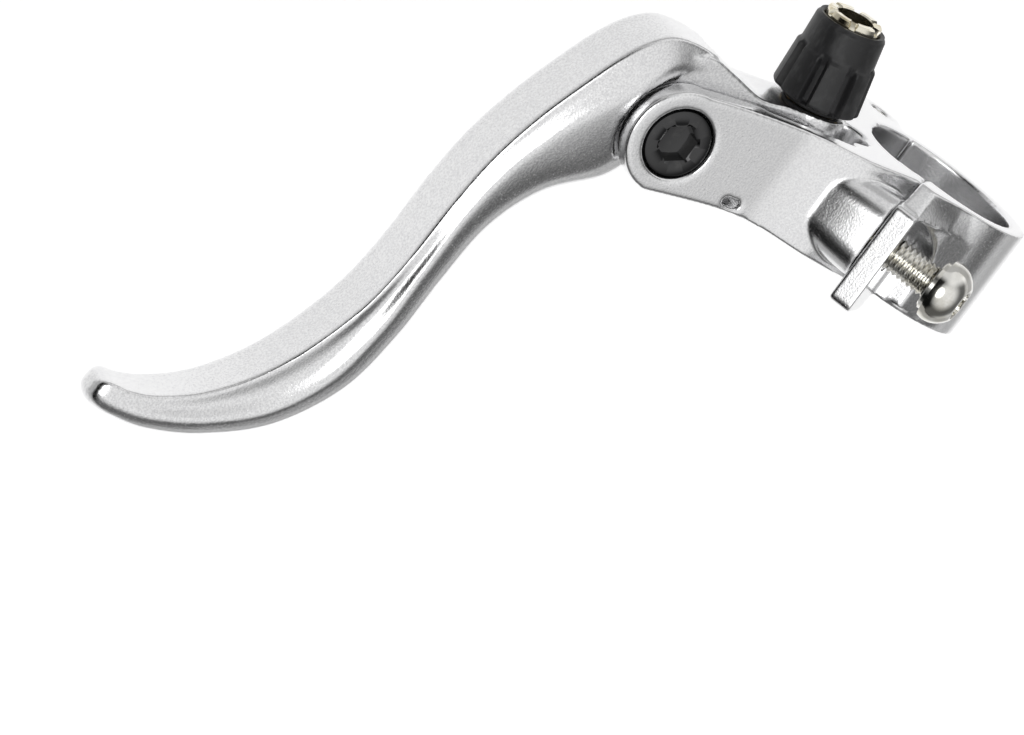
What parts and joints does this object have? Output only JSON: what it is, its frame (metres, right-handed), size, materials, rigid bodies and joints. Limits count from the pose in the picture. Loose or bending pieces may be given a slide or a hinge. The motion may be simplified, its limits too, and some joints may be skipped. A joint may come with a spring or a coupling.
{
  "type": "bicycle brake lever",
  "caption": "In-line bicycle brake lever: a curved finger blade on a cast bracket with a hinged bar clamp and a threaded barrel adjuster.",
  "frame": {"origin": "centre of the handlebar's bore, halfway along the clamp", "axes": "+X along the bar, inward, towards the adjuster; +Y forward, from the bar to the pivot; +Z along the lever's pivot, towards the clamp bolt"},
  "size_m": [0.0979, 0.1041, 0.0464],
  "materials": {
    "polished_casting": "polished cast aluminium",
    "lever_casting": "polished cast aluminium, lightly grained",
    "plated_steel": "bright nickel plate",
    "blackened_steel": "gloss black oxide",
    "bronze": "turned brass",
    "nickel_brass": "nickel-plated brass",
    "nylon": "natural nylon",
    "black_plastic": "moulded, satin",
    "rubber": "matt"
  },
  "bodies": {
    "bracket": {"bracket_body": "polished_casting", "hinge_pin": "plated_steel", "pivot_nut": "blackened_steel", "pivot_bolt": "blackened_steel", "pivot_washer_upper": "nylon", "pivot_washer_lower": "nylon"},
    "band": {"clamp_band": "polished_casting"},
    "bolt_washer": {"clamp_washer": "plated_steel"},
    "bolt": {"clamp_bolt": "plated_steel"},
    "lever": {"lever_blade": "lever_casting", "pivot_bush": "bronze"},
    "ferrule": {"housing_ferrule": "nickel_brass"},
    "adjuster": {"adjuster_screw": "bronze", "adjuster_knob": "black_plastic", "adjuster_o_ring": "rubber"}
  },
  "joints": [
    {"name": "lever_pivot", "type": "hinge", "parent": "bracket", "child": "lever", "pos_m": [-0.005, 0.043, 0], "axis": [0, 0, 1], "range_deg": [0, 25]},
    {"name": "band_hinge", "type": "hinge", "parent": "bracket", "child": "band", "pos_m": [0, 0.0016, -0.0176], "axis": [1, 0, 0], "range_deg": [0, 100]},
    {"name": "clamp_bolt_travel", "type": "slide", "parent": "band", "child": "bolt_washer", "axis": [0, -0.7314, 0.682], "range_m": [-0.0064, 0]},
    {"name": "clamp_bolt_turn", "type": "hinge", "parent": "bolt_washer", "child": "bolt", "pos_m": [-0.0014, 0.01228, 0.01316], "axis": [0, -0.7314, 0.682], "range_deg": [-2880, 0]},
    {"name": "adjuster_travel", "type": "slide", "parent": "lever", "child": "ferrule", "axis": [0.9796, 0.2011, 0], "range_m": [0, 0.003]},
    {"name": "adjuster_turn", "type": "hinge", "parent": "ferrule", "child": "adjuster", "pos_m": [0.0081, 0.0243, 0], "axis": [0.9796, 0.2011, 0], "range_deg": [0, 1080]}
  ],
  "couplings": [
    {"joint": "clamp_bolt_turn", "follows": "clamp_bolt_travel", "rad_per_m": 7854},
    {"joint": "adjuster_turn", "follows": "adjuster_travel", "rad_per_m": 6283.2}
  ]
}
